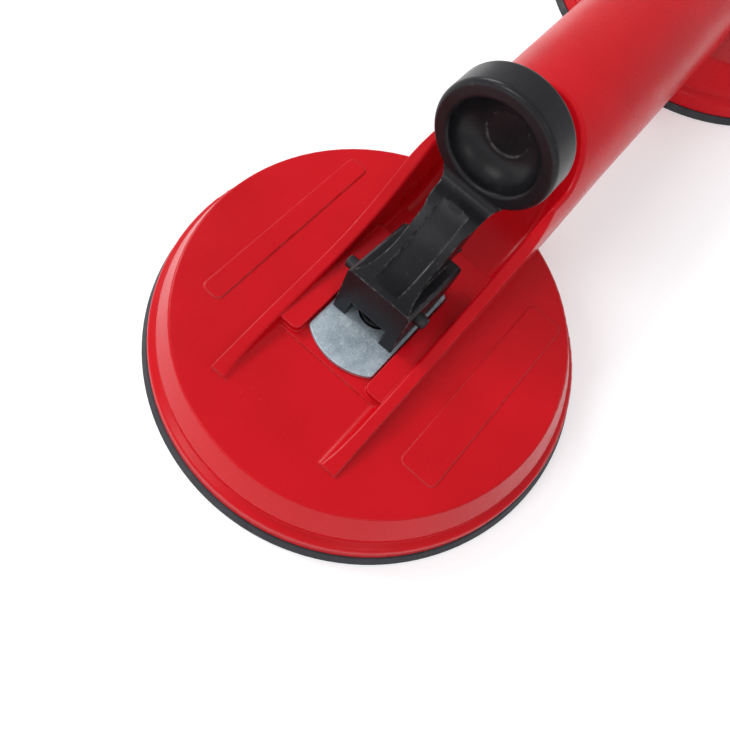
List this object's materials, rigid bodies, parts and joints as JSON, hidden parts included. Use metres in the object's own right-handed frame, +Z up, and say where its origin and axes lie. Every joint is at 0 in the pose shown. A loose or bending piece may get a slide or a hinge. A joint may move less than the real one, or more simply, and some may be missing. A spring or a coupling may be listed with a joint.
{
  "type": "double suction lifter",
  "caption": "Hand-held vacuum lifter with a suction cup at each end of a handle; pressing a cam lever down pulls up each cup's rubber pad to grip glass or tile.",
  "frame": {"origin": "on the ground under the middle of the handle", "axes": "+X along the handle from cup a to cup b, +Y across the handle, +Z up, away from the sealing faces"},
  "size_m": [0.318, 0.118, 0.0722],
  "materials": {
    "red_moulding": "satin gloss injection moulding",
    "black_rubber": "matte",
    "plain_steel": "rolled",
    "dark_steel": "blackened, oiled",
    "zinc_plate": "zinc plated",
    "black_plastic": "satin, scuffed"
  },
  "bodies": {
    "frame": {"body": "red_moulding", "rubber_pad_a": "black_rubber", "rubber_pad_b": "black_rubber", "wear_plate_a": "zinc_plate", "wear_plate_b": "zinc_plate"},
    "lift_a": {"backing_plate_a": "plain_steel", "lift_stem_a": "dark_steel", "pivot_pin_a": "dark_steel"},
    "lift_b": {"backing_plate_b": "plain_steel", "lift_stem_b": "dark_steel", "pivot_pin_b": "dark_steel"},
    "lever_a": {"lever_a": "black_plastic"},
    "lever_b": {"lever_b": "black_plastic"}
  },
  "joints": [
    {"name": "cup_lift_a", "type": "slide", "parent": "frame", "child": "lift_a", "axis": [0, 0, 1], "range_m": [0, 0.0045], "deforming": ["rubber_pad_a"]},
    {"name": "lever_a_hinge", "type": "hinge", "parent": "lift_a", "child": "lever_a", "pos_m": [-0.1, 0, 0.0288], "axis": [0, 1, 0], "range_deg": [0, 38]},
    {"name": "cup_lift_b", "type": "slide", "parent": "frame", "child": "lift_b", "axis": [0, 0, 1], "range_m": [0, 0.0045], "deforming": ["rubber_pad_b"]},
    {"name": "lever_b_hinge", "type": "hinge", "parent": "lift_b", "child": "lever_b", "pos_m": [0.1, 0, 0.0288], "axis": [0, -1, 0], "range_deg": [0, 38]}
  ],
  "couplings": [
    {"joint": "cup_lift_a", "follows": "lever_a_hinge", "m_per_rad": 0.006785},
    {"joint": "cup_lift_b", "follows": "lever_b_hinge", "m_per_rad": 0.006785}
  ]
}
